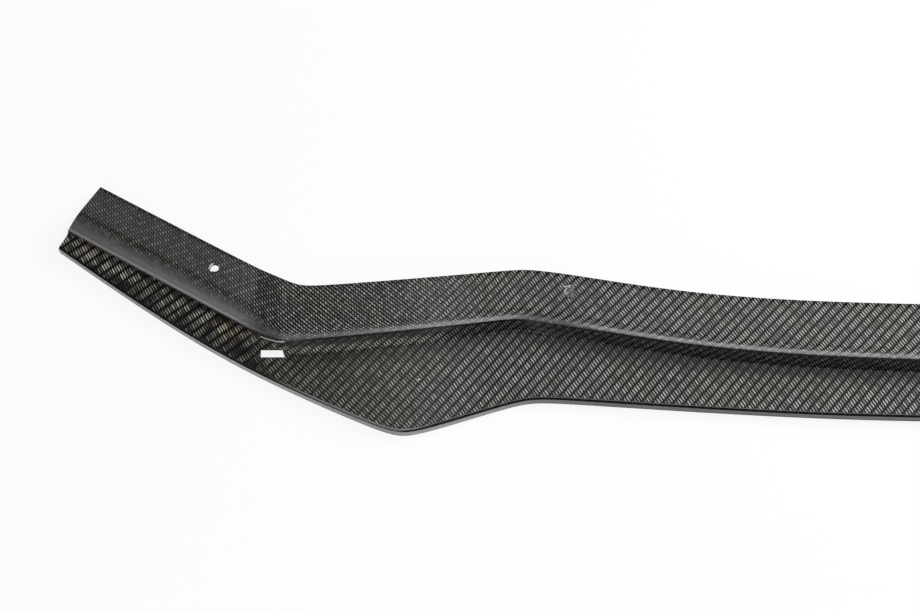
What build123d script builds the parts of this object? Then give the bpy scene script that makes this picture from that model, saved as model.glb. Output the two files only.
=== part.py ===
import math
import os
from build123d import *

# Overall sizes in mm: X across the car, Y towards the car, Z up, blade lying flat
loft_half_width = 856.0
end_at = 834.0
thickness = 2.5
front_height = 10.5
front_edge_radius = 2.5
station_spacing = 20.0

# Front edge in plan, measured outwards from the centreline
front_at_centre = -92.4
crown_at, crown_turn, crown_softness = 215.0, 0.072, 123.0
bend_at, bend_turn, bend_softness = 458.0, -0.416, 15.0
fang_at, fang_turn, fang_softness = 560.0, 0.759, 13.0
sweep_at, sweep_turn, sweep_softness = 705.0, 0.326, 84.0

# Foot of the bumper seat, the line of its nose in plan
nose_at_centre = -51.3
nose_crown_at, nose_crown_turn, nose_crown_softness = 318.0, 0.25, 150.0
nose_peak_at, nose_peak_turn, nose_peak_softness = 464.5, -0.338, 9.0
nose_bend_at, nose_bend_turn, nose_bend_softness = 657.0, 0.66, 9.0

# Rear edge of the flange in plan
rear_at_centre = 0.6
rear_crown_at, rear_crown_turn, rear_crown_softness = 324.0, 0.233, 127.0
rear_peak_at, rear_peak_turn, rear_peak_softness = 458.0, -0.305, 12.0
rear_bend_at, rear_bend_turn, rear_bend_softness = 643.5, 0.622, 9.0

# Height of the step from blade to flange: tall at the centre, low on the tails
step_centre = 18.0
step_fang = 12.5
step_tail = 4.5
step_fang_at, step_fang_softness = 440.0, 25.0
step_tail_at, step_tail_softness = 668.0, 12.0

# How far the foot of the step stands ahead of its nose
foot_centre = 3.5
foot_fang = 8.5
foot_tail = 2.2
foot_fang_at, foot_fang_softness = 500.0, 35.0
foot_tail_at, foot_tail_softness = 652.0, 10.0

# Rolled front of the flange, narrow as far as the bend and broad on the tails
roll_width_centre = 6.5
roll_width_tail = 15.0
roll_rise_centre = 1.3
roll_rise_tail = 3.0
roll_tail_at, roll_tail_softness = 665.0, 18.0
roll_radius_ratio = 3.0
flange_fall = 0.231
nose_ratio = 0.08
root_ratio = 0.05

# Screw holes and pilot dimples in the flange, slots in the blade
screw_at = 713.0
screw_y = 36.0
screw_diameter = 7.0
dimple_at = 424.5
dimple_y = 14.0
dimple_diameter = 9.0
dimple_depth = 0.8
slot_outer = nose_bend_at + 16.5
slot_length = 18.5
slot_width = 6.8
slot_slant = 2.6
slot_from_nose = 11.1


def rounded_run(a, start, corners):
    # A line in plan that turns through soft corners, level at the centreline
    y = start
    for at, turn, softness in corners:
        y += 0.5 * turn * (a + math.hypot(a - at, softness) - math.hypot(at, softness))
    return y


def front(a):
    corners = [
        (crown_at, crown_turn, crown_softness),
        (bend_at, bend_turn, bend_softness),
        (fang_at, fang_turn, fang_softness),
        (sweep_at, sweep_turn, sweep_softness),
    ]
    return rounded_run(a, front_at_centre, corners)


def nose(a):
    corners = [
        (nose_crown_at, nose_crown_turn, nose_crown_softness),
        (nose_peak_at, nose_peak_turn, nose_peak_softness),
        (nose_bend_at, nose_bend_turn, nose_bend_softness),
    ]
    return rounded_run(a, nose_at_centre, corners)


def rear(a):
    corners = [
        (rear_crown_at, rear_crown_turn, rear_crown_softness),
        (rear_peak_at, rear_peak_turn, rear_peak_softness),
        (rear_bend_at, rear_bend_turn, rear_bend_softness),
    ]
    return rounded_run(a, rear_at_centre, corners)


def ease(x):
    return 0.5 + 0.5 * x / math.hypot(1, x)


def eased(a, start, changes):
    # A size that eases from one value to the next along the lip
    size = start
    for at, softness, change in changes:
        size += change * ease((a - at) / softness)
    return size


def step(a):
    fang = (step_fang_at, step_fang_softness, step_fang - step_centre)
    tail = (step_tail_at, step_tail_softness, step_tail - step_fang)
    return eased(a, step_centre, [fang, tail])


def foot(a):
    fang = (foot_fang_at, foot_fang_softness, foot_fang - foot_centre)
    tail = (foot_tail_at, foot_tail_softness, foot_tail - foot_fang)
    return eased(a, foot_centre, [fang, tail])


def roll_width(a):
    return eased(a, roll_width_centre, [(roll_tail_at, roll_tail_softness, roll_width_tail - roll_width_centre)])


def roll_rise(a):
    return eased(a, roll_rise_centre, [(roll_tail_at, roll_tail_softness, roll_rise_tail - roll_rise_centre)])


def slant(curve, a):
    # Length across a slanting wall for each mm of its thickness
    return math.hypot(1, (curve(a + 0.5) - curve(a - 0.5)))


def flange_top(a, y):
    return front_height + step(a) + roll_rise(a) - flange_fall * (y - nose(a) - roll_width(a))


def section_corners(a):
    # Corners of the folded sheet with their radii, from the flange's rear round to its underside
    f = front(a)
    n = nose(a)
    r = rear(a)
    s = step(a)
    top = front_height
    nose_top = top + s
    roll = n + roll_width(a)
    roll_top = nose_top + roll_rise(a)
    roll_radius = roll_radius_ratio * roll_width(a)
    nose_radius = nose_ratio * s
    root_radius = root_ratio * s
    lean = roll_rise(a) / roll_width(a)
    rake = foot(a) / s
    edge = thickness * slant(front, a)
    wall = thickness * slant(nose, a) * math.hypot(1, rake)
    under_nose = (thickness - lean * wall) / (1 - lean * rake)
    under_root = n + wall - rake * (s + thickness)
    return [
        ((r, flange_top(a, r)), 0),
        ((roll, roll_top), roll_radius),
        ((n, nose_top), nose_radius),
        ((n - foot(a), top), root_radius),
        ((f, top), front_edge_radius),
        ((f, 0), 0),
        ((f + edge, 0), 0),
        ((f + edge, top - thickness), 0),
        ((under_root, top - thickness), root_radius + thickness),
        ((n + wall - rake * under_nose, nose_top - under_nose), max(0.3, nose_radius - thickness)),
        ((roll, roll_top - thickness), roll_radius - thickness),
        ((r, flange_top(a, r) - thickness), 0),
    ]


def rounded_loop(corners):
    # Closed outline of straight runs joined by tangent arcs
    count = len(corners)
    cuts = []
    for i in range(count):
        here = Vector(*corners[i][0])
        back = (Vector(*corners[i - 1][0]) - here).normalized()
        ahead = (Vector(*corners[(i + 1) % count][0]) - here).normalized()
        half_angle = math.acos(back.dot(ahead)) / 2
        radius = corners[i][1]
        reach = radius / math.tan(half_angle)
        depth = radius / math.sin(half_angle) - radius
        middle = here + (back + ahead).normalized() * depth
        cuts.append((here + back * reach, middle, here + ahead * reach, radius))
    for i in range(count):
        Line(cuts[i - 1][2], cuts[i][0])
        if cuts[i][3] > 0:
            ThreePointArc(cuts[i][0], cuts[i][1], cuts[i][2])


station_count = math.ceil(loft_half_width / station_spacing)
stations = [loft_half_width * i / station_count for i in range(station_count + 1)]

with BuildPart() as lip:
    # One half of the folded carbon sheet, lofted from the centreline out to the tail
    for x in stations:
        across = Plane(origin=(x, 0, 0), x_dir=(0, 1, 0), z_dir=(1, 0, 0))
        with BuildSketch(across):
            with BuildLine():
                rounded_loop(section_corners(x))
            make_face()
    loft()

    # Plain square-cut tail end
    tail_angle = math.atan(nose(end_at + 0.5) - nose(end_at - 0.5))
    tail_way = (math.cos(tail_angle), math.sin(tail_angle), 0)
    split(bisect_by=Plane(origin=(end_at, nose(end_at), 0), z_dir=tail_way), keep=Keep.BOTTOM)

    # Screw hole through the flange beyond the bend
    with Locations((screw_at, screw_y, 0)):
        Cylinder(screw_diameter / 2, 200, mode=Mode.SUBTRACT)

    # Pilot dimple pressed in the flange's top
    ball = (dimple_diameter**2 / 4 + dimple_depth**2) / (2 * dimple_depth)
    with Locations((dimple_at, dimple_y, flange_top(dimple_at, dimple_y) + ball - dimple_depth)):
        Sphere(ball, mode=Mode.SUBTRACT)

    # Slot through the blade at the foot of the step, where it drops to the tail
    slot_inner = slot_outer - slot_length
    slot_front = nose(nose_bend_at) - slot_from_nose
    slot_rear = slot_front + slot_width
    with BuildSketch(Plane.XY):
        with BuildLine():
            Polyline(
                (slot_outer, slot_rear),
                (slot_inner + slot_slant / 2, slot_rear),
                (slot_inner - slot_slant / 2, slot_front),
                (slot_outer, slot_front),
                close=True,
            )
        make_face()
    extrude(amount=front_height + 4, mode=Mode.SUBTRACT)

    # The other half
    mirror(about=Plane.YZ)

# Centre the finished part fore and aft over the origin
box = lip.part.bounding_box()
with BuildPart() as splitter_lip:
    add(lip.part.moved(Location((0, -(box.min.Y + box.max.Y) / 2, 0))))

os.makedirs("parts", exist_ok=True)
splitter_lip.part.label = "splitter_lip"
export_step(splitter_lip.part, "parts/splitter_lip.step")
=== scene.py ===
import math
import bpy
import bmesh
from mathutils import Matrix, Vector


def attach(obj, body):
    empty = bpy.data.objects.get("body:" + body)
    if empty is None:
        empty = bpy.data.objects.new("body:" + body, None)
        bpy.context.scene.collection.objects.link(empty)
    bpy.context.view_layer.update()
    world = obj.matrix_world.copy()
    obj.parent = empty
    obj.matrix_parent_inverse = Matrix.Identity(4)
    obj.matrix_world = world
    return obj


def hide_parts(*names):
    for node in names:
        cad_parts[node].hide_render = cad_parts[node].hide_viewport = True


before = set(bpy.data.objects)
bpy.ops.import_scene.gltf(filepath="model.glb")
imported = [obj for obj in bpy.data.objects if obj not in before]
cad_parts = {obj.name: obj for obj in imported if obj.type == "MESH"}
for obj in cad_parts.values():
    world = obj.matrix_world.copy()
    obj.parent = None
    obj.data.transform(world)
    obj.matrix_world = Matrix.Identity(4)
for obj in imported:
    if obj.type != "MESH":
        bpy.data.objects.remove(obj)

scene = bpy.context.scene
scene.view_settings.view_transform = "Standard"
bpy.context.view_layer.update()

mm = 0.001

# lengths in mm, places measured outwards from the centreline
lipShape = {
    "foreShift": -3.308,  # plan to the part's own origin
    "halfWidth": 856.0,
    "stations": 300,  # rings on each side of the centre
    "endAt": 834.0,
    "sheet": 2.5,
    "edgeRound": 0.45,
    "innerRound": 0.3,
    "frontHeight": 10.5,
    "frontRound": 2.5,
    # lines in plan: at the centre, then each corner's place, turn and softness
    "front": (
        -92.4,
        [(215.0, 0.072, 123.0), (458.0, -0.416, 15.0), (560.0, 0.759, 13.0), (705.0, 0.326, 84.0)],
    ),
    "nose": (-51.3, [(318.0, 0.25, 150.0), (464.5, -0.338, 9.0), (657.0, 0.66, 9.0)]),
    "rear": (0.6, [(324.0, 0.233, 127.0), (458.0, -0.305, 12.0), (643.5, 0.622, 9.0)]),
    # sizes: at the centre, then each change's place, softness and amount
    "step": (18.0, [(440.0, 25.0, -5.5), (668.0, 12.0, -8.0)]),
    "foot": (3.5, [(500.0, 35.0, 5.0), (652.0, 10.0, -6.3)]),  # foot of the step ahead of its nose
    "rollWidth": (6.5, [(665.0, 18.0, 8.5)]),
    "rollRise": (1.295, [(665.0, 18.0, 1.705)]),
    "noseRound": (1.44, [(440.0, 25.0, -0.44), (668.0, 12.0, 1.2)]),
    "rootRound": (0.9, [(440.0, 25.0, -0.3), (668.0, 12.0, -0.35)]),
    "rollRatio": 3.0,  # bend radius for the roll's width
    "flangeFall": 0.231,
    "plainBelow": 9.5,  # the front face is plain under this height
    "plainFacing": (0.4, 0.75),  # where it faces forward by this, and up or down by less than this
    "sharpAngle": 32.0,  # degrees
}

cornerOf = {"nose": 2, "root": 3, "front": 4}  # in sectionCorners

cutouts = {
    "screwAt": (713.0, 36.0, 3.5),  # out, back, radius
    "screwCut": (12.0, 30.0, 40),  # height of its middle, length, sides
    "dimpleAt": (424.5, 14.0, 4.5, 0.8),  # out, back, radius, depth
    "dimpleSplits": 5,  # fineness of its ball
    "slotOut": (673.5, 655.0, 2.6),  # outer end, inner end, slant of the inner end
    "slotBack": (-40.0, 6.8),  # front side, width
    "slotCut": (8.0, 13.0),  # height of its middle, depth
}

clothLay = {
    "tow": 2.0,  # width of a tow in mm
    "floatSlant": 0.55,  # each float's sheen leans across it
    "evenSlant": 0.4,  # less where both tows look alike
    "floatReach": (0.8, 1.4),  # where a float's sheen starts to fade along it and ends, in tows
    "evenReach": (0.25, 0.85),
    "floatWidth": (0.4, 1.0),  # and across it, in half tows
    "evenWidth": (0.25, 0.85),
    "evenWarp": 0.7,  # how light the warp is where both look alike
    "gapFrom": (0.36, 0.5),  # dark edge of a tow, from its middle
    "strand": (9.0, 0.6, 0.6),  # fibres for each tow across, along, and their roughness
    "noseDrag": (10.0, 1.5),  # reach behind the nose over which the cloth is pulled, how far
    "noseTurn": 1.6,  # run round the nose over which the blade's lay becomes the flange's
    "lean": 0.19,  # weft leans out of square across the blade
    "flangeLean": (0.19, 0.06, 480.0, 40.0),  # on the flange: at the middle, at the tails, where, how softly
    "bladeWarp": [(0.0, 0.08, 90.0), (664.0, 0.30, 16.0)],  # how the warp follows the lip
    "flangeWarp": [(0.0, 0.09, 90.0), (462.0, -0.13, 18.0), (655.0, 0.53, 18.0)],
    "seamJump": 20.0,  # a face this many tows long closes the outline
    "foldSeen": 6,  # points past the front's round that still know their fold
    "foldHidden": (-20.0, 20.0),  # past the nose and behind the front, for the rest
}


def softRun(out, corners):
    y = 0.0
    for at, turn, softness in corners:
        y += 0.5 * turn * (out + math.hypot(out - at, softness) - math.hypot(at, softness))
    return y


def planLine(name, out):
    start, corners = lipShape[name]
    return start + softRun(out, corners)


def planSlope(name, out):
    return planLine(name, out + 0.5) - planLine(name, out - 0.5)


def slantOf(name, out):
    return math.hypot(1.0, planSlope(name, out))


def ease(x):
    return 0.5 + 0.5 * x / math.hypot(1.0, x)


def sizeAt(name, out):
    size, changes = lipShape[name]
    for at, softness, change in changes:
        size += change * ease((out - at) / softness)
    return size


def flangeTop(out, back):
    s = lipShape
    fall = s["flangeFall"] * (back - planLine("nose", out) - sizeAt("rollWidth", out))
    return s["frontHeight"] + sizeAt("step", out) + sizeAt("rollRise", out) - fall


# corner, radius, steps round it, steps in the run before it
def sectionCorners(out):
    s = lipShape
    front, nose, rear = (planLine(k, out) for k in ("front", "nose", "rear"))
    step, foot, width, rise = (sizeAt(k, out) for k in ("step", "foot", "rollWidth", "rollRise"))
    sheet, top, soft, inner = s["sheet"], s["frontHeight"], s["edgeRound"], s["innerRound"]
    lean, rake = rise / width, foot / step
    edge, wall = sheet * slantOf("front", out), sheet * slantOf("nose", out) * math.hypot(1.0, rake)
    roll, rollTop, noseTop = nose + width, top + step + rise, top + step
    rollRound = s["rollRatio"] * width
    noseRound, rootRound = sizeAt("noseRound", out), sizeAt("rootRound", out)
    under = (sheet - lean * wall) / (1.0 - lean * rake)
    return [
        ((rear, flangeTop(out, rear)), soft, 2, 1),
        ((roll, rollTop), rollRound, 6, 7),
        ((nose, noseTop), noseRound, 8, 1),
        ((nose - foot, top), rootRound, 5, 2),
        ((front, top), s["frontRound"], 6, 8),
        ((front, 0.0), soft, 2, 2),
        ((front + edge, 0.0), soft, 2, 1),
        ((front + edge, top - sheet), inner, 2, 2),
        ((nose + wall - rake * (step + sheet), top - sheet), rootRound + sheet, 6, 6),
        ((nose + wall - rake * under, noseTop - under), max(inner, noseRound - sheet), 4, 1),
        ((roll, rollTop - sheet), rollRound - sheet, 4, 2),
        ((rear, flangeTop(out, rear) - sheet), soft, 2, 6),
    ]


# the folded sheet's outline at one place across the lip
def sectionRing(out):
    corners = sectionCorners(out)
    count = len(corners)
    turns = []
    for i, (place, radius, steps, _) in enumerate(corners):
        here = Vector(place)
        back = (Vector(corners[i - 1][0]) - here).normalized()
        ahead = (Vector(corners[(i + 1) % count][0]) - here).normalized()
        half = back.angle(ahead) / 2
        middle = here + (back + ahead).normalized() * (radius / math.sin(half))
        reach = radius / math.tan(half)
        first, last = here + back * reach - middle, here + ahead * reach - middle
        whole = first.angle(last)
        arc = []
        for k in range(steps + 1):
            t = k / steps
            turned = first * math.sin((1 - t) * whole) + last * math.sin(t * whole)
            arc.append(middle + turned / math.sin(whole))
        turns.append(arc)
    points = []
    for i, arc in enumerate(turns):
        start, steps = turns[i - 1][-1], corners[i][3]
        points += [start.lerp(arc[0], k / steps) for k in range(1, steps)] + arc
    return points


# how many points of the outline come before the end of a corner's round
def pointsTo(corner):
    counts = [steps + before for _, _, steps, before in sectionCorners(0.0)]
    return sum(counts[:cornerOf[corner] + 1])


# which point of the outline is the middle of a corner's round
def roundIndex(corner):
    steps = sectionCorners(0.0)[cornerOf[corner]][2]
    return pointsTo(corner) - 1 - steps + steps // 2


def outlineRuns(points):
    runs = [0.0]
    for a, b in zip(points, points[1:]):
        runs.append(runs[-1] - (b - a).length)  # front is the negative way
    return runs


# how far each point lies past the nose and behind the front edge, in mm
def foldPlaces(points):
    c = clothLay
    runs = outlineRuns(points)
    nose, front = roundIndex("nose"), roundIndex("front")
    seen = front + c["foldSeen"]
    return [(runs[nose] - r, r - runs[front]) if i < seen else c["foldHidden"] for i, r in enumerate(runs)]


# cloth coordinates in tows: across follows the weft, along follows the warp
def clothPlaces(x, points):
    c = clothLay
    out = abs(x)
    flat = pointsTo("root") - 1  # where the blade starts
    root = points[flat].x
    runs = outlineRuns(points)
    runs = [r - runs[flat] + root for r in runs]
    reach, pull = c["noseDrag"]
    brow = runs[roundIndex("nose")]
    runs = [r - pull * min(reach, max(0.0, brow + reach - r))**2 / (2 * reach) for r in runs]
    shift = root - runs[flat]
    nearLean, farLean, at, softness = c["flangeLean"]
    flangeLean = nearLean + (farLean - nearLean) * ease((out - at) / softness)
    bladeRun, flangeRun = softRun(out, c["bladeWarp"]), softRun(out, c["flangeWarp"])
    places = []
    for r in [run + shift for run in runs]:
        over = min(1.0, max(0.0, (r - brow) / c["noseTurn"] + 0.5))
        lean = c["lean"] * min(r, root) + flangeLean * max(0.0, r - root)
        warp = bladeRun + (flangeRun - bladeRun) * over
        places.append(((x + lean) / c["tow"], (r - warp) / c["tow"]))
    return places


def ringPlaces(x, points):
    back = lipShape["foreShift"]
    return [Vector((x, p.x + back, p.y)) * mm for p in points]


def layCloth(bm, across, along, pastNose, behindFront):
    clothMap, foldMap = bm.loops.layers.uv.new("cloth"), bm.loops.layers.uv.new("fold")
    jump = clothLay["seamJump"]
    for face in bm.faces:
        low = min(l.vert[along] for l in face.loops)
        high = max(l.vert[along] for l in face.loops)
        for loop in face.loops:
            place = loop.vert[along]
            if high - low > jump:  # the rear edge closes the outline
                place = low if place > low + jump / 2 else low - lipShape["sheet"] / clothLay["tow"]
            loop[clothMap].uv = (loop.vert[across], place)
            loop[foldMap].uv = (loop.vert[pastNose], loop.vert[behindFront])


def cutTails(bm):
    end = lipShape["endAt"]
    lead = math.atan(planSlope("nose", end))
    for side in (-1, 1):
        spot = Vector((side * end, planLine("nose", end) + lipShape["foreShift"], 0.0)) * mm
        way = Vector((side * math.cos(lead), math.sin(lead), 0.0))
        everything = bm.verts[:] + bm.edges[:] + bm.faces[:]
        bmesh.ops.bisect_plane(bm, geom=everything, plane_co=spot, plane_no=way, clear_outer=True)
        rim = [e for e in bm.edges if e.is_boundary and abs((e.verts[0].co - spot).dot(way)) < 0.01 * mm]
        bmesh.ops.holes_fill(bm, edges=rim, sides=0)


def buildLip():
    s = lipShape
    bm = bmesh.new()
    names = ("across", "along", "pastNose", "behindFront")
    across, along, pastNose, behindFront = [bm.verts.layers.float.new(k) for k in names]
    spread = [s["halfWidth"] * i / s["stations"] for i in range(-s["stations"], s["stations"] + 1)]
    ring = []
    for x in spread:
        points = sectionRing(abs(x))
        places = ringPlaces(x, points)
        if not ring:
            ring = [bm.verts.new(p) for p in places]
            edges = [bm.edges.new((a, b)) for a, b in zip(ring, ring[1:] + ring[:1])]
        else:
            made = bmesh.ops.extrude_edge_only(bm, edges=edges)["geom"]
            fresh = {g for g in made if isinstance(g, bmesh.types.BMVert)}
            ring = [next(e.other_vert(v) for e in v.link_edges if e.other_vert(v) in fresh) for v in ring]
            edges = [bm.edges.get((a, b)) for a, b in zip(ring, ring[1:] + ring[:1])]
            for v, p in zip(ring, places):
                v.co = p
        for v, cloth, fold in zip(ring, clothPlaces(x, points), foldPlaces(points)):
            v[across], v[along] = cloth
            v[pastNose], v[behindFront] = fold
    layCloth(bm, across, along, pastNose, behindFront)
    for k in names:
        bm.verts.layers.float.remove(bm.verts.layers.float[k])
    cutTails(bm)
    bmesh.ops.recalc_face_normals(bm, faces=bm.faces[:])
    forward, level = s["plainFacing"]
    for face in bm.faces:
        low = face.calc_center_median().z < s["plainBelow"] * mm
        plain = low and face.normal.y < -forward and abs(face.normal.z) < level
        face.material_index = 1 if plain else 0
    return bm


def cutterMesh():
    c, back = cutouts, lipShape["foreShift"]
    bm = bmesh.new()
    for side in (-1, 1):
        out, y, radius = c["screwAt"]
        height, length, sides = c["screwCut"]
        place = Matrix.Translation(Vector((side * out, y + back, height)) * mm)
        shape = {"segments": sides, "radius1": radius * mm, "radius2": radius * mm, "depth": length * mm}
        bmesh.ops.create_cone(bm, cap_ends=True, matrix=place, **shape)
        out, y, radius, depth = c["dimpleAt"]
        ball = (radius**2 + depth**2) / (2 * depth)
        place = Matrix.Translation(Vector((side * out, y + back, flangeTop(out, y) + ball - depth)) * mm)
        shape = {"subdivisions": c["dimpleSplits"], "radius": ball * mm}
        for v in bmesh.ops.create_icosphere(bm, matrix=place, **shape)["verts"]:
            for face in v.link_faces:
                face.material_index = 1
        outer, inner, slant = c["slotOut"]
        near, far = c["slotBack"][0], sum(c["slotBack"])
        height, depth = c["slotCut"]
        middle, length = (outer + inner) / 2, outer - inner
        halfWay = (near + far) / 2 + back
        place = Matrix.Translation(Vector((side * middle, halfWay, height)) * mm)
        size = Matrix.Diagonal(Vector((length, far - near, depth)) * mm).to_4x4()
        for v in bmesh.ops.create_cube(bm, size=1.0, matrix=place @ size)["verts"]:
            if abs(v.co.x) < middle * mm:  # the inner end slants
                v.co.x += side * slant / 2 * mm * (1 if v.co.y > halfWay * mm else -1)
    return bm


def meshObject(name, bm, *materials):
    mesh = bpy.data.meshes.new(name)
    bm.to_mesh(mesh)
    bm.free()
    for m in materials:
        mesh.materials.append(m)
    obj = bpy.data.objects.new(name, mesh)
    scene.collection.objects.link(obj)
    return obj


def cutAway(obj, cutter):
    cut = obj.modifiers.new("cutouts", "BOOLEAN")
    cut.operation, cut.solver, cut.object = "DIFFERENCE", "EXACT", cutter
    cut.material_mode = "TRANSFER"
    ready = obj.evaluated_get(bpy.context.evaluated_depsgraph_get())
    done = bpy.data.meshes.new_from_object(ready)
    obj.modifiers.clear()
    old, obj.data = obj.data, done
    bpy.data.meshes.remove(old)
    bpy.data.objects.remove(cutter, do_unlink=True)


def smoothSkin(obj, sharpAngle):
    bm = bmesh.new()
    bm.from_mesh(obj.data)
    for face in bm.faces:
        face.smooth = True
    for edge in bm.edges:
        edge.smooth = len(edge.link_faces) == 2 and edge.calc_face_angle(0.0) < math.radians(sharpAngle)
    bm.to_mesh(obj.data)
    bm.free()


class nodeMaker:  # short hands for laying out nodes in one tree
    def __init__(self, tree):
        self.tree = tree

    def add(self, kind, **values):
        node = self.tree.nodes.new(kind)
        for key, value in values.items():
            setattr(node, key, value)
        return node

    def group(self, tree):
        node = self.add("ShaderNodeGroup")
        node.node_tree = tree
        return node

    def feed(self, socket, value):
        if isinstance(value, bpy.types.NodeSocket):
            self.tree.links.new(value, socket)
        else:
            socket.default_value = value

    def math(self, operation, a, b=None, c=None):
        node = self.add("ShaderNodeMath", operation=operation)
        for socket, value in zip(node.inputs, (a, b, c)):
            if value is not None:
                self.feed(socket, value)
        return node.outputs[0]

    def times(self, product, *others):
        for other in others:
            product = self.math("MULTIPLY", product, other)
        return product

    def mix(self, factor, a, b):  # of two values
        node = self.add("ShaderNodeMix", data_type="FLOAT")
        for socket, value in zip((node.inputs[0], node.inputs[2], node.inputs[3]), (factor, a, b)):
            self.feed(socket, value)
        return node.outputs[0]

    def mixColour(self, factor, a, b):
        node = self.add("ShaderNodeMix", data_type="RGBA")
        for socket, value in zip((node.inputs[0], node.inputs[6], node.inputs[7]), (factor, a, b)):
            self.feed(socket, value)
        return node.outputs[2]

    def span(self, value, low, high, toLow=0.0, toHigh=1.0, kind="SMOOTHSTEP"):
        node = self.add("ShaderNodeMapRange", interpolation_type=kind)
        for socket, v in zip(node.inputs, (value, low, high, toLow, toHigh)):
            self.feed(socket, v)
        return node.outputs[0]

    def between(self, value, rises, falls):  # 1 in the middle, with soft ends
        return self.times(self.span(value, *rises), self.span(value, *falls, 1.0, 0.0))

    def noise(self, vector, scale, detail=2.0, rough=0.5):
        node = self.add("ShaderNodeTexNoise")
        self.feed(node.inputs["Vector"], vector)
        node.inputs["Scale"].default_value = scale
        node.inputs["Detail"].default_value = detail
        node.inputs["Roughness"].default_value = rough
        return node.outputs[0]

    def vector(self, operation, a, b=None, output=0):
        node = self.add("ShaderNodeVectorMath", operation=operation)
        for socket, value in zip(node.inputs, (a, b)):
            if value is not None:
                self.feed(socket, value)
        return node.outputs[output]

    def join(self, x, y, z=0.0):
        node = self.add("ShaderNodeCombineXYZ")
        for socket, value in zip(node.inputs, (x, y, z)):
            self.feed(socket, value)
        return node.outputs[0]

    def parts(self, vector):
        node = self.add("ShaderNodeSeparateXYZ")
        self.feed(node.inputs[0], vector)
        return tuple(node.outputs)

    def place(self):
        return self.add("ShaderNodeTexCoord").outputs["Object"]


def newGroup(name, vectors, values, outputs):
    group = bpy.data.node_groups.new(name, "ShaderNodeTree")
    for key in vectors:
        group.interface.new_socket(key, in_out="INPUT", socket_type="NodeSocketVector")
    for key in values:
        group.interface.new_socket(key, in_out="INPUT", socket_type="NodeSocketFloat")
    for key in outputs:
        group.interface.new_socket(key, in_out="OUTPUT", socket_type="NodeSocketFloat")
    n = nodeMaker(group)
    return n, n.add("NodeGroupInput").outputs, n.add("NodeGroupOutput").inputs


def newMaterial(name):
    material = bpy.data.materials.new(name)
    material.use_nodes = True
    return material, material.node_tree.nodes["Principled BSDF"], nodeMaker(material.node_tree)


# two-over-two twill: Shine lights the floats, Float and Fibre vary them, Even shows both tows alike
def twillGroup():
    c = clothLay
    n, into, outOf = newGroup("twillWeave", ["Cloth"], ["Even"], ["Shine", "Gap", "Fibre", "Float"])
    u, v, _ = n.parts(into["Cloth"])
    even = into["Even"]
    column = n.math("FLOOR", u)
    inTow = n.math("SUBTRACT", n.math("FRACT", u), 0.5)
    phase = n.math("FLOORED_MODULO", n.math("SUBTRACT", column, v), 4.0)
    reach = [n.mix(even, long, short) for long, short in zip(c["floatReach"], c["evenReach"])]
    width = [n.mix(even, wide, narrow) for wide, narrow in zip(c["floatWidth"], c["evenWidth"])]
    slant = n.mix(even, c["floatSlant"], c["evenSlant"])
    dashes = []
    for middle in (2.0, 0.0):  # the weft's float, then the place it dives under the warp
        ahead = n.math("FLOORED_MODULO", n.math("SUBTRACT", phase, middle - 2.0), 4.0)
        run = n.math("SUBTRACT", 2.0, ahead)
        lean = n.times(n.math("MAXIMUM", n.math("MINIMUM", run, 1.0), -1.0), slant)
        across = n.times(n.math("ABSOLUTE", n.math("ADD", inTow, lean)), 2.0)
        ends = n.span(n.math("ABSOLUTE", run), *reach, 1.0, 0.0)
        dashes.append(n.times(ends, n.span(across, *width, 1.0, 0.0)))
    weft, warp = dashes
    under = n.math("GREATER_THAN", n.math("ABSOLUTE", n.math("SUBTRACT", phase, 2.0)), 1.0)
    chance = n.add("ShaderNodeTexWhiteNoise")
    n.feed(chance.inputs["Vector"], n.join(column, n.math("ROUND", n.math("ADD", v, phase)), under))
    fine, long, rough = c["strand"]
    strand = n.join(n.times(u, fine), n.times(v, long), under)
    n.feed(outOf["Shine"], n.math("MAXIMUM", weft, n.times(warp, n.times(even, c["evenWarp"]))))
    n.feed(outOf["Gap"], n.span(n.math("ABSOLUTE", inTow), *c["gapFrom"]))
    n.feed(outOf["Fibre"], n.noise(strand, 1.0, 2.0, rough))
    n.feed(outOf["Float"], chance.outputs[0])
    return n.tree


# wear and painted glints seen on the left side only, in mm: a stroke's ends about the middle of the cut-out,
# then its reach
wearAndGlintPlaces = {
    "screwAt": [
        (-3.7, 1.6, -1.6, 3.7, 0.6),
        (-4.1, -0.4, -3.8, 0.5, 0.6),
        (-3.1, -2.1, -2.2, -3.3, 0.65),
    ],
    # painted glints round the dimple's rim
    "dimpleAt": [
        (-4.0, 2.2, -0.5, 3.1, 0.45),
        (-0.5, 3.1, 0.5, 3.2, 0.8),
        (1.6, -3.2, 3.2, -2.8, 0.75),
    ],
    "paintedSlotHighlight": [(673.3, 0.62), (666.0, 0.46), (658.3, 0.28), (654.3, 0.13)],  # painted highlight along the step's edge over the slot: out, share down the step
    "paintedSlotHighlightReach": 0.85,
    "fleck": ((-546.2, -58.9, 10.5), (-545.6, -58.9, 10.5), 0.7),  # on the blade
    "raggedScale": 1500.0,
    "ragged": (0.3, 0.7, 0.75, 1.2),  # noise from, to, and how it changes the distance
    "softFrom": 0.5,  # share of the reach
}
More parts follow.
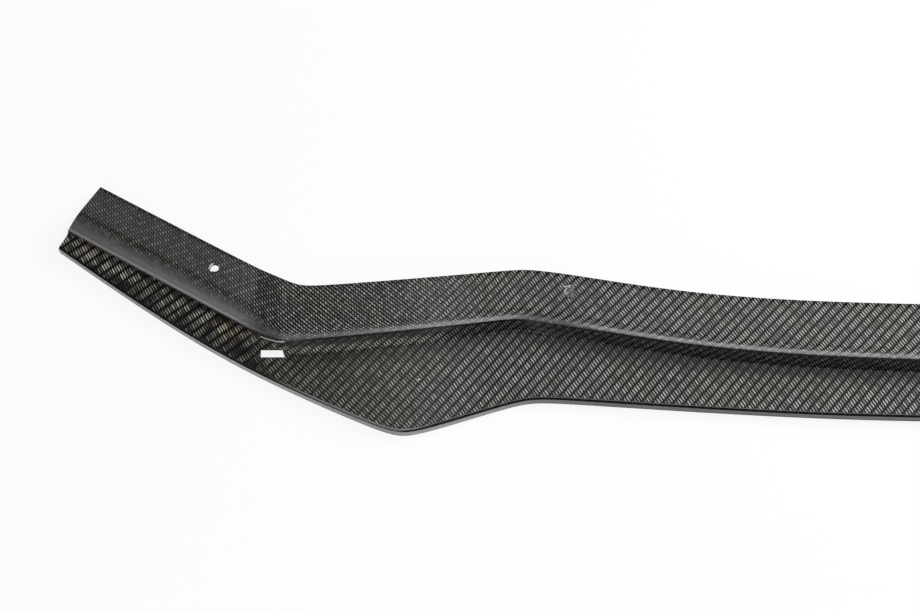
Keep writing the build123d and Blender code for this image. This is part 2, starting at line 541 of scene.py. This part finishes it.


# a chip, a scuff or a painted glint: a short stroke From one place To another, with a ragged edge
def markGroup():
    p = wearAndGlintPlaces
    n, into, outOf = newGroup("wearAndGlintMark", ["Place", "From", "To"], ["Reach"], ["Mask"])
    away = n.vector("SUBTRACT", into["Place"], into["From"])
    stroke = n.vector("SUBTRACT", into["To"], into["From"])
    along, whole = n.vector("DOT_PRODUCT", away, stroke, 1), n.vector("DOT_PRODUCT", stroke, stroke, 1)
    share = n.math("DIVIDE", along, whole)
    near = n.vector("SCALE", stroke)
    n.feed(near.node.inputs["Scale"], n.math("MINIMUM", n.math("MAXIMUM", share, 0.0), 1.0))
    gap = n.vector("LENGTH", n.vector("SUBTRACT", away, near), None, 1)
    gap = n.times(gap, n.span(n.noise(into["Place"], p["raggedScale"]), *p["ragged"]))
    n.feed(outOf["Mask"], n.span(gap, n.times(into["Reach"], p["softFrom"]), into["Reach"], 1.0, 0.0))
    return n.tree


# each stroke's two ends and reach, in the part's own mm
def wearAndGlintMarks():
    p = wearAndGlintPlaces
    marks = []
    for name in ("screwAt", "dimpleAt"):
        out, y, radius, depth = (*cutouts[name], 0.0)[:4]
        for fromX, fromY, toX, toY, reach in p[name]:
            ends = []
            for dx, dy in ((fromX, fromY), (toX, toY)):
                hollow = depth * max(0.0, 1.0 - (dx * dx + dy * dy) / radius**2)
                ends.append((dx - out, y + dy, flangeTop(out - dx, y + dy) - hollow))
            marks.append((*ends, reach))
    line = []
    for out, share in p["paintedSlotHighlight"]:  # painted highlight along the step's edge over the slot
        level = lipShape["frontHeight"] + (1.0 - share) * sizeAt("step", out)
        line.append((-out, planLine("nose", out) - share * sizeAt("foot", out), level))
    marks += [(a, b, p["paintedSlotHighlightReach"]) for a, b in zip(line, line[1:])]
    marks.append(p["fleck"])
    back = Vector((0.0, lipShape["foreShift"], 0.0))
    return [(Vector(a) + back, Vector(b) + back, reach) for a, b, reach in marks]


# how much of a point is chipped or carries a painted glint or highlight
def wearAndGlintAmount(n, place, wearAndGlint):
    most = 0.0
    for start, end, reach in wearAndGlintMarks():
        mark = n.group(wearAndGlint)
        n.feed(mark.inputs["Place"], place)
        mark.inputs["From"].default_value, mark.inputs["To"].default_value = start * mm, end * mm
        mark.inputs["Reach"].default_value = reach * mm
        most = n.math("MAXIMUM", mark.outputs["Mask"], most)
    return most


carbonLook = {
    "weft": (0.50, 0.495, 0.48, 1.0),
    "oliveWeft": (0.50, 0.484, 0.42, 1.0),
    "tintedWeft": (0.50, 0.42, 0.305, 1.0),
    # pale grey of the painted sheen on the roll
    "paintedSheenWeft": (0.485, 0.49, 0.51, 1.0),
    "warp": (0.006, 0.006, 0.0065, 1.0),
    # dark of the gaps between tows; also the colour of the painted shade lines and of the dimple's painted
    # rim shade
    "gap": (0.002, 0.002, 0.0022, 1.0),
    # pale of chips, also of painted highlights and glints
    "chipAndHighlight": (0.85, 0.85, 0.84, 1.0),
    "metallic": 0.2,
    "roughness": 0.45,
    "coatRoughness": 0.15,
    "coatIor": 1.5,
    "bump": (0.25, 0.0003),  # strength, depth in metres
    # zones in metres out from the centreline, each from where to where
    "noseStraights": ((470.0, 640.0), (672.0, 820.0)),  # mm between which the nose runs straight
    "flangeFrom": (-0.001, 0.003),  # metres behind that line
    "evenFlange": (0.48, 0.575),  # both tows look alike from here to the tail
    "evenBlade": ((0.48, 0.56), (0.675, 0.69), 0.4),  # rises, falls, how alike
    "tailBlade": (0.64, 0.69),
    "tailFlange": (0.64, 0.70),
    "fangStep": ((0.50, 0.56), (0.65, 0.67)),
    "stepEnds": (0.645, 0.685),  # where the step drops to the tail
    "stepRun": ((0.41, 0.50, 18.3, 15.1), 10.0),  # its length in mm changes here, and loses this at the drop
    # how light the floats are, with painted shade and painted highlights among the factors
    "fibreShade": (0.25, 0.75, 0.72, 1.0),
    "floatSpread": (0.4, 1.1),  # darkest and lightest float
    "flangeUneven": 0.3,  # how much more they vary where both tows look alike
    "paintedBladeShade": (0.50, 0.64, 0.66),  # painted shade towards the tail: from, to, how dim it gets
    # the same painted shade on the flange
    "paintedFlangeShade": (0.62, 0.72, 0.38),
    "evenGain": 1.25,
    "streakScale": (0.2, 0.08),  # on the tail's blade, for each tow across the twill and along the warp
    "streakShade": (0.36, 0.64, 0.25, 1.55),
    "paintedTailSheen": ((2.0, 11.0), (14.0, 22.0), 0.7, 1.7),  # painted sheen across the tail's blade, mm past the nose: rises, falls, least, most
    "paintedFootShading": (2.0, 16.0, 0.5, 1.6),  # painted shade ahead of the step's foot by the fang, painted light there on the tail; mm ahead of the foot: from, to, by the fang, on the tail
    "stepFrom": (0.0, 2.0),  # mm past the nose
    "paintedStepHighlight": ((5.0, 10.0), (12.5, 15.5), 4.5),  # painted highlight: bright floats on the fang's step, mm past the nose, gain
    # colour drifts
    "oliveDrift": (0.03, 0.4, 0.7),  # noise scale, from, to
    "oliveBlade": (0.5, 0.62),
    "tintPatch": (0.09, 0.58, 0.70),
    # painted sheen: a flat pale grey that hides the weave on the roll, by the fang and on the tail, in mm
    "paintedSheenReach": (4.0, 14.0),
    "paintedSheenFade": (2.0, 8.0),
    "paintedSheenMost": (0.5, 0.85),
    "paintedSheenShine": (0.36, 0.9),
    "paintedSheenShade": 0.3,
    "paintedSheenEnds": (0.0, 0.8),
    # painted shade and highlight lines along the folds: mm at which each rises and falls, how strong
    "paintedNoseShade": ((-0.8, -0.1), (1.2, 2.4), 0.95),  # painted shade, dark under the nose
    "paintedNoseShadeEnds": (0.655, 0.68),
    "paintedFrontShade": (1.5, 3.0),  # painted shade, dark behind the front
    "paintedTailHighlight": ((-3.2, -1.8), (-0.6, 0.2), 0.2),  # painted highlight, pale on the tails' rim
    "paintedTailHighlightFrom": (0.66, 0.70),
    "frontGlint": ((0.8, 1.3), (1.7, 2.2), 0.3),  # painted glint, pale along the fang's front
    "frontGlintAt": ((0.53, 0.56), (0.64, 0.67)),
    # coat worn dull on the fang's step and along the foot
    "dullStep": ((0.5, 2.0), (12.0, 15.0)),
    "dullFoot": ((-2.5, -1.0), (0.6, 1.6)),
    "dullCoat": 0.35,
}


# where a point lies: zones from 0 to 1, metres out from the centre, mm past the nose, foot and front
def lipPlaces(n):
    look = carbonLook
    at = {"place": n.place(), "cloth": n.add("ShaderNodeUVMap", uv_map="cloth").outputs[0]}
    x, y, _ = n.parts(at["place"])
    out = at["out"] = n.math("ABSOLUTE", x)
    lines = []
    for a, b in look["noseStraights"]:
        first, last = planLine("nose", a), planLine("nose", b)
        slope = (last - first) / (b - a)
        lines.append(n.math("MULTIPLY_ADD", out, slope, (first - slope * a + lipShape["foreShift"]) * mm))
    behind = n.math("SUBTRACT", y, n.math("MAXIMUM", *lines))
    at["flange"] = n.span(behind, *look["flangeFrom"])
    at["blade"] = n.math("SUBTRACT", 1.0, at["flange"])
    rises, falls, most = look["evenBlade"]
    at["evenBlade"] = n.times(at["blade"], n.between(out, rises, falls), most)
    at["evenFlange"] = n.times(at["flange"], n.span(out, *look["evenFlange"]))
    at["tailBlade"] = n.times(at["blade"], n.span(out, *look["tailBlade"]))
    at["tail"] = n.span(out, *look["tailFlange"])
    at["pastNose"], at["behindFront"], _ = n.parts(n.add("ShaderNodeUVMap", uv_map="fold").outputs[0])
    run, lost = look["stepRun"]
    stepRun = n.math("SUBTRACT", n.span(out, *run), n.span(out, *look["stepEnds"], 0.0, lost))
    at["pastFoot"] = n.math("SUBTRACT", at["pastNose"], stepRun)
    return at


# how light each float is: its own tone, times painted shade towards the tails and ahead of the foot, and
# painted highlights on the tail's blade and the fang's step
def floatToneAndPaintedLight(n, at, weave):
    look = carbonLook
    out, pastNose, tail = at["out"], at["pastNose"], at["tailBlade"]
    fibre = n.span(weave.outputs["Fibre"], *look["fibreShade"], "LINEAR")
    floats = n.span(weave.outputs["Float"], 0.0, 1.0, *look["floatSpread"], "LINEAR")
    uneven = n.math("MAXIMUM", tail, n.times(at["evenFlange"], look["flangeUneven"]))
    # painted shade, darker towards the tails
    paintedShades = [n.span(out, near, far, 1.0, least) for near, far, least in (look["paintedBladeShade"], look["paintedFlangeShade"])]
    u, v, _ = n.parts(at["cloth"])
    wide, long = look["streakScale"]
    streak = n.noise(n.join(n.times(n.math("SUBTRACT", u, v), wide), n.times(v, long)), 1.0, 1.0)
    rises, falls, least, most = look["paintedTailSheen"]
    paintedTailSheen = n.mix(n.between(pastNose, rises, falls), least, most)
    near, far, least, most = look["paintedFootShading"]
    paintedFootShading = n.span(at["pastFoot"], near, far, n.span(out, *look["stepEnds"], least, most), 1.0)
    rises, falls, gain = look["paintedStepHighlight"]
    paintedHighlight = n.times(n.between(pastNose, rises, falls), n.between(out, *look["fangStep"]))
    return n.times(
        fibre,
        n.math("POWER", floats, n.math("ADD", uneven, 1.0)),
        n.mix(at["flange"], *paintedShades),
        n.mix(at["evenFlange"], 1.0, look["evenGain"]),
        n.mix(tail, 1.0, n.span(streak, *look["streakShade"])),
        n.mix(tail, 1.0, paintedTailSheen),
        n.mix(n.span(pastNose, *look["stepFrom"]), 1.0, paintedFootShading),
        n.mix(paintedHighlight, 1.0, gain),
    )


def weftColour(n, at):
    look = carbonLook
    scale, *drift = look["oliveDrift"]
    drift = n.span(n.noise(at["cloth"], scale), *drift)
    olive = n.math("MAXIMUM", drift, n.times(at["blade"], n.span(at["out"], *look["oliveBlade"])))
    scale, *patch = look["tintPatch"]
    tint = n.times(at["tailBlade"], n.span(n.noise(at["cloth"], scale, 1.0), *patch))
    return n.mixColour(tint, n.mixColour(olive, look["weft"], look["oliveWeft"]), look["tintedWeft"])


# how much painted sheen covers the roll, fading out at the nose
def paintedSheenAmount(n, at):
    look = carbonLook
    reach, fade, most = (n.mix(at["tail"], *look[k]) for k in ("paintedSheenReach", "paintedSheenFade", "paintedSheenMost"))
    within = n.span(n.math("ADD", at["pastNose"], reach), n.times(fade, -1.0), fade)
    return n.times(within, most, n.span(at["pastNose"], *look["paintedSheenEnds"], 1.0, 0.0))


# painted shade under the nose and behind the front, painted highlights on the tails' rim and along the fang's
# front
def paintedFoldLines(n, at, colour):
    look = carbonLook
    out, pastNose, behindFront = at["out"], at["pastNose"], at["behindFront"]
    rises, falls, most = look["paintedNoseShade"]
    line = n.times(n.between(pastNose, rises, falls), n.span(out, *look["paintedNoseShadeEnds"], most, 0.0))
    line = n.math("MAXIMUM", line, n.span(behindFront, *look["paintedFrontShade"], most, 0.0))
    colour = n.mixColour(line, colour, look["gap"])
    rises, falls, most = look["paintedTailHighlight"]
    rim = n.times(n.between(pastNose, rises, falls), n.span(out, *look["paintedTailHighlightFrom"], 0.0, most))
    colour = n.mixColour(rim, colour, look["chipAndHighlight"])
    rises, falls, most = look["frontGlint"]
    glint = n.times(n.between(behindFront, rises, falls), n.between(out, *look["frontGlintAt"]), most)
    return n.mixColour(glint, colour, look["chipAndHighlight"])


def coatLeft(n, at):
    look = carbonLook
    onStep = n.times(n.between(at["pastNose"], *look["dullStep"]), n.between(at["out"], *look["fangStep"]))
    atFoot = n.between(at["pastFoot"], *look["dullFoot"])
    return n.mix(n.math("MAXIMUM", onStep, atFoot), 1.0, look["dullCoat"])


def carbonMaterial(twill, wearAndGlint):
    look = carbonLook
    material, shader, n = newMaterial("clearCoatedTwill")
    at = lipPlaces(n)
    weave = n.group(twill)
    n.feed(weave.inputs["Cloth"], at["cloth"])
    n.feed(weave.inputs["Even"], n.math("MAXIMUM", at["evenFlange"], at["evenBlade"]))
    # the painted sheen flattens the floats' shine, tone and colour on the roll
    paintedSheen = paintedSheenAmount(n, at)
    shine = n.mix(paintedSheen, weave.outputs["Shine"], n.mix(at["tail"], *look["paintedSheenShine"]))
    shade = n.mix(n.times(paintedSheen, at["tail"]), floatToneAndPaintedLight(n, at, weave), look["paintedSheenShade"])
    bright = n.mixColour(paintedSheen, weftColour(n, at), look["paintedSheenWeft"])
    dark = n.mixColour(weave.outputs["Gap"], look["warp"], look["gap"])
    colour = paintedFoldLines(n, at, n.mixColour(n.times(shine, shade), dark, bright))
    chipsAndGlints = wearAndGlintAmount(n, at["place"], wearAndGlint)
    n.feed(shader.inputs["Base Color"], n.mixColour(chipsAndGlints, colour, look["chipAndHighlight"]))
    n.feed(shader.inputs["Metallic"], n.mix(chipsAndGlints, look["metallic"], 0.0))
    n.feed(shader.inputs["Coat Weight"], coatLeft(n, at))
    shader.inputs["Specular IOR Level"].default_value = 0.0
    shader.inputs["Roughness"].default_value = look["roughness"]
    shader.inputs["Coat Roughness"].default_value = look["coatRoughness"]
    shader.inputs["Coat IOR"].default_value = look["coatIor"]
    bump = n.add("ShaderNodeBump")
    bump.inputs["Strength"].default_value, bump.inputs["Distance"].default_value = look["bump"]
    n.feed(bump.inputs["Height"], shine)
    n.feed(shader.inputs["Normal"], bump.outputs[0])
    return material


frontLook = {
    "dark": (0.035, 0.035, 0.036, 1.0),  # at the centre
    "pale": (0.42, 0.42, 0.41, 1.0),  # at the tails, a painted reflection of the floor
    "paintedReflectionFrom": (0.38, 0.70),  # metres out over which the painted reflection grows
    "cloudScale": 60.0,
    "cloud": (0.3, 0.7, 0.85, 1.0),
    "roughness": 0.35,
}


def frontMaterial():
    look = frontLook
    material, shader, n = newMaterial("plainFrontFace")
    place = n.place()
    out = n.math("ABSOLUTE", n.parts(place)[0])
    cloud = n.span(n.noise(place, look["cloudScale"], 3.0), *look["cloud"])
    # painted reflection of the floor, paler towards the tails
    pale = n.times(n.span(out, *look["paintedReflectionFrom"]), cloud)
    n.feed(shader.inputs["Base Color"], n.mixColour(pale, look["dark"], look["pale"]))
    shader.inputs["Roughness"].default_value = look["roughness"]
    shader.inputs["Coat Weight"].default_value = 1.0
    shader.inputs["Coat Roughness"].default_value = carbonLook["coatRoughness"]
    return material


resinLook = {
    "dark": (0.015, 0.015, 0.015, 1.0),
    "pale": (0.26, 0.257, 0.25, 1.0),
    "cloudScale": 560.0,
    "cloud": (0.42, 0.58),
    "rim": (0.78, 0.92),  # painted shade on the dimple's edge, in shares of the radius
    "rimShadeBehind": (-0.001, 0.001),  # the painted shade only on the rear half, in metres from the middle
    "roughness": 0.4,
}


def resinMaterial(wearAndGlint):
    look = resinLook
    material, shader, n = newMaterial("resinDimple")
    place = n.place()
    cloud = n.span(n.noise(place, look["cloudScale"], 3.0, 0.6), *look["cloud"])
    x, y, _ = n.parts(place)
    outAt, backAt, radius, _ = cutouts["dimpleAt"]
    aside = n.math("SUBTRACT", n.math("ABSOLUTE", x), outAt * mm)
    behind = n.math("SUBTRACT", y, (backAt + lipShape["foreShift"]) * mm)
    away = n.vector("LENGTH", n.join(aside, behind), None, 1)
    # painted shade along the dimple's rear rim
    edge = n.span(away, *(share * radius * mm for share in look["rim"]))
    rim = n.times(edge, n.span(behind, *look["rimShadeBehind"]))
    colour = n.mixColour(rim, n.mixColour(cloud, look["dark"], look["pale"]), carbonLook["gap"])
    n.feed(shader.inputs["Base Color"], n.mixColour(wearAndGlintAmount(n, place, wearAndGlint), colour, carbonLook["chipAndHighlight"]))
    shader.inputs["Roughness"].default_value = look["roughness"]
    shader.inputs["Coat Weight"].default_value = 1.0
    shader.inputs["Coat Roughness"].default_value = carbonLook["coatRoughness"]
    return material


cutLook = {
    "dark": (0.02, 0.02, 0.02, 1.0),
    "pale": (0.09, 0.09, 0.088, 1.0),
    "plyScale": 900.0,
    "roughness": (0.3, 0.7, 0.5, 0.8),
}


def cutMaterial():
    look = cutLook
    material, shader, n = newMaterial("cutCarbonEdge")
    ply = n.noise(n.place(), look["plyScale"], 3.0, 0.6)
    n.feed(shader.inputs["Base Color"], n.mixColour(ply, look["dark"], look["pale"]))
    n.feed(shader.inputs["Roughness"], n.span(ply, *look["roughness"]))
    return material


wearAndGlint, twill = markGroup(), twillGroup()
carbon, front = carbonMaterial(twill, wearAndGlint), frontMaterial()
cutEdge, resin = cutMaterial(), resinMaterial(wearAndGlint)
lip = meshObject("splitterLip", buildLip(), carbon, front)
print("lip drawn", len(lip.data.polygons))
cutter = meshObject("cutter", cutterMesh(), cutEdge, resin)
cutAway(lip, cutter)
smoothSkin(lip, lipShape["sharpAngle"])
print("cut-outs made", len(lip.data.polygons), [m.name for m in lip.data.materials])
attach(lip, "root")
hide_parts("splitter_lip")

studio = {
    "target": (-513.0, -3.303, 20.0),
    "distance": 1800.0,
    "elevation": 70.0,
    "focalPixels": 2232.0,
    "imageWidth": 920.0,  # pixels
    "sensor": 36.0,
    "clip": (0.05, 50.0),
    "floorSize": 12.0,
    "floorColours": ((0.97, 0.97, 0.97, 1.0), (0.96, 0.96, 0.96, 1.0)),
    "floorScale": 3.0,
    "floorRoughness": 0.9,
    "floorGlow": 0.88,  # white to the camera, the rest takes the shadow
    "world": 0.06,
    "lamps": [  # place, aim, width, depth, watts
        ((0.1, -0.05, 2.2), (0.1, 0.0, 0.0), 1.3, 0.5, 9.1),  # strip along the roll
        ((-1.1, -0.05, 2.2), (-1.1, 0.0, 0.0), 1.1, 0.5, 1.9),  # its dim end
        ((0.3, 0.8, 2.2), (0.3, 0.0, 0.0), 2.0, 0.8, 2.0),  # pale sheen on the blade
        ((0.32, 2.3, 2.2), (0.32, 0.0, 0.0), 2.26, 0.8, 3.5),  # and on the flange
        ((1.08, 0.665, 1.06), (-0.35, 0.0, 0.0), 1.3, 1.3, 44.0),  # key from behind
        ((-1.0, -1.1, 0.65), (-0.63, 0.0, 0.0), 0.7, 0.5, 5.0),  # fill before the near tail
    ],
}


def floorMaterial():
    material, shader, n = newMaterial("paleFloor")
    tone = n.noise(n.place(), studio["floorScale"])
    n.feed(shader.inputs["Base Color"], n.mixColour(tone, *studio["floorColours"]))
    shader.inputs["Roughness"].default_value = studio["floorRoughness"]
    white = n.add("ShaderNodeEmission")
    blend = n.add("ShaderNodeMixShader")
    rays = n.add("ShaderNodeLightPath")
    n.feed(blend.inputs[0], n.times(rays.outputs["Is Camera Ray"], studio["floorGlow"]))
    n.feed(blend.inputs[1], shader.outputs[0])
    n.feed(blend.inputs[2], white.outputs[0])
    n.feed(n.tree.nodes["Material Output"].inputs[0], blend.outputs[0])
    return material


def buildStudio():
    bm = bmesh.new()
    bmesh.ops.create_grid(bm, x_segments=1, y_segments=1, size=studio["floorSize"])
    floor = meshObject("floor", bm, floorMaterial())
    world = bpy.data.worlds.new("studio")
    world.use_nodes = True
    scene.world = world
    n = nodeMaker(world.node_tree)
    sky = world.node_tree.nodes["Background"]
    rays = n.add("ShaderNodeLightPath")
    n.feed(sky.inputs["Strength"], n.mix(rays.outputs["Is Camera Ray"], studio["world"], 1.0))
    sky.inputs["Color"].default_value = (1.0, 1.0, 1.0, 1.0)
    for i, (place, aim, width, depth, watts) in enumerate(studio["lamps"]):
        lamp = bpy.data.lights.new("softbox%d" % i, "AREA")
        lamp.shape, lamp.size, lamp.size_y, lamp.energy = "RECTANGLE", width, depth, watts
        holder = bpy.data.objects.new("softbox%d" % i, lamp)
        holder.location = place
        holder.rotation_mode = "QUATERNION"
        holder.rotation_quaternion = (Vector(aim) - Vector(place)).to_track_quat("-Z", "Y")
        scene.collection.objects.link(holder)


def buildCamera():
    lens = bpy.data.cameras.new("camera")
    lens.sensor_width = studio["sensor"]
    lens.lens = studio["focalPixels"] / studio["imageWidth"] * studio["sensor"]
    lens.clip_start, lens.clip_end = studio["clip"]
    holder = bpy.data.objects.new("camera", lens)
    tilt = math.radians(studio["elevation"])
    away = Vector((0.0, -math.cos(tilt), math.sin(tilt)))
    holder.location = (Vector(studio["target"]) + away * studio["distance"]) * mm
    holder.rotation_euler = (math.radians(90.0) - tilt, 0.0, 0.0)
    scene.collection.objects.link(holder)
    scene.camera = holder


buildStudio()
buildCamera()
print("studio set")
